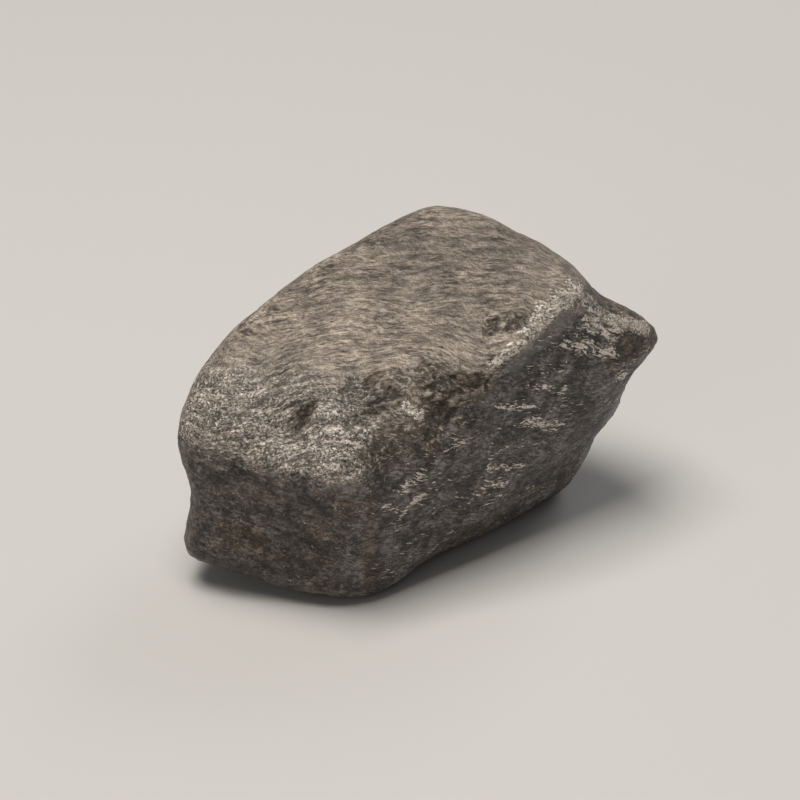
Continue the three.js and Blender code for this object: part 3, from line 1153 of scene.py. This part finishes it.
LIGHTS = {  # place and side in metres, watts, colour
    "overhead_softbox": ((-0.05, -0.03, 0.30), 0.15, 0.85, (1.0, 0.97, 0.93)),
    "back_softbox": ((0.18, 0.22, 0.22), 0.2, 0.25, (0.95, 0.97, 1.0)),
    "front_fill": ((-0.25, -0.30, 0.16), 0.3, 0.17, (1.0, 0.98, 0.95)),
}
AIR_COLOUR = (0.80, 0.81, 0.83)
AIR_STRENGTH = 0.125
CAMERA_AIM = Vector((-0.00103, 0.0002, 0.00787))
CAMERA_CLIP = (0.005, 20.0)
SENSOR_WIDTH = 36.0


def add_floor(studio):
    deselect_all()
    bpy.ops.mesh.primitive_plane_add(size=studio.floor_side, location=(0, 0, 0))
    floor = bpy.context.object
    floor.name = "studio_floor"
    floor.data.materials.append(floor_material(studio.floor_colour))


def add_soft_light(name, place, side, watts, colour, aim):
    light = bpy.data.lights.new(name, "AREA")
    light.shape = "SQUARE"
    light.size = side
    light.energy = watts
    light.color = colour
    lamp = bpy.data.objects.new(name, light)
    bpy.context.scene.collection.objects.link(lamp)
    lamp.location = place
    lamp.rotation_euler = (aim - Vector(place)).to_track_quat("-Z", "Y").to_euler()


def add_air():
    world = bpy.data.worlds.new("studio_air")
    world.use_nodes = True
    air = world.node_tree.nodes["Background"]
    air.inputs["Color"].default_value = rgb(AIR_COLOUR)
    air.inputs["Strength"].default_value = AIR_STRENGTH
    bpy.context.scene.world = world


def add_camera(studio):
    away = Vector((0, -math.cos(studio.elevation), math.sin(studio.elevation)))
    data = bpy.data.cameras.new("camera")
    data.lens = studio.lens
    data.sensor_width = SENSOR_WIDTH
    data.clip_start, data.clip_end = CAMERA_CLIP
    camera = bpy.data.objects.new("camera", data)
    bpy.context.scene.collection.objects.link(camera)
    camera.location = CAMERA_AIM + away * studio.distance
    camera.rotation_euler = (-away).to_track_quat("-Z", "Y").to_euler()
    bpy.context.scene.camera = camera


# ---------------------------------------------------------------- operators


class DIAMOND_OT_skin(bpy.types.Operator):
    """Build the stone's skin over its frame"""

    bl_idname = "diamond.skin"
    bl_label = "Build Diamond Skin"

    def execute(self, context):
        sizes = context.scene.diamond_sizes
        skin = new_skin(sizes)
        shape_skin(skin, sizes)
        shrink_to_metres(skin)
        skin.data.materials.append(skin_material(context.scene.diamond_colours))
        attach(skin, BODY)
        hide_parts(NODE)
        return {"FINISHED"}


class DIAMOND_OT_stage(bpy.types.Operator):
    """Build the floor, the lights and the camera"""

    bl_idname = "diamond.stage"
    bl_label = "Build Stage"

    def execute(self, context):
        studio = context.scene.diamond_studio
        low, high = CAD_BOX
        middle = (Vector(low) + Vector(high)) / 2
        add_floor(studio)
        for name, (place, side, watts, colour) in LIGHTS.items():
            add_soft_light(name, place, side, watts, colour, middle)
        add_air()
        add_camera(studio)
        context.scene.view_settings.view_transform = "Standard"
        return {"FINISHED"}


class DIAMOND_PT_panel(bpy.types.Panel):
    """Sizes, colours and build steps of the rough diamond"""

    bl_idname = "DIAMOND_PT_panel"
    bl_label = "Rough Diamond"
    bl_space_type = "VIEW_3D"
    bl_region_type = "UI"
    bl_category = "Diamond"

    def draw(self, context):
        layout = self.layout
        scene = context.scene
        for group in (scene.diamond_sizes, scene.diamond_colours, scene.diamond_studio):
            box = layout.box()
            for name in group.bl_rna.properties.keys():
                if name not in ("rna_type", "name"):
                    box.prop(group, name)
        layout.operator(DIAMOND_OT_skin.bl_idname)
        layout.operator(DIAMOND_OT_stage.bl_idname)


CLASSES = (
    DiamondSizes,
    DiamondColours,
    DiamondStudio,
    DIAMOND_OT_skin,
    DIAMOND_OT_stage,
    DIAMOND_PT_panel,
)


def register():
    for item in CLASSES:
        bpy.utils.register_class(item)
    bpy.types.Scene.diamond_sizes = bpy.props.PointerProperty(type=DiamondSizes)
    bpy.types.Scene.diamond_colours = bpy.props.PointerProperty(type=DiamondColours)
    bpy.types.Scene.diamond_studio = bpy.props.PointerProperty(type=DiamondStudio)


def unregister():
    del bpy.types.Scene.diamond_studio
    del bpy.types.Scene.diamond_colours
    del bpy.types.Scene.diamond_sizes
    for item in reversed(CLASSES):
        bpy.utils.unregister_class(item)


def main():
    register()
    bpy.ops.diamond.skin()
    bpy.ops.diamond.stage()


if __name__ == "__main__":
    main()
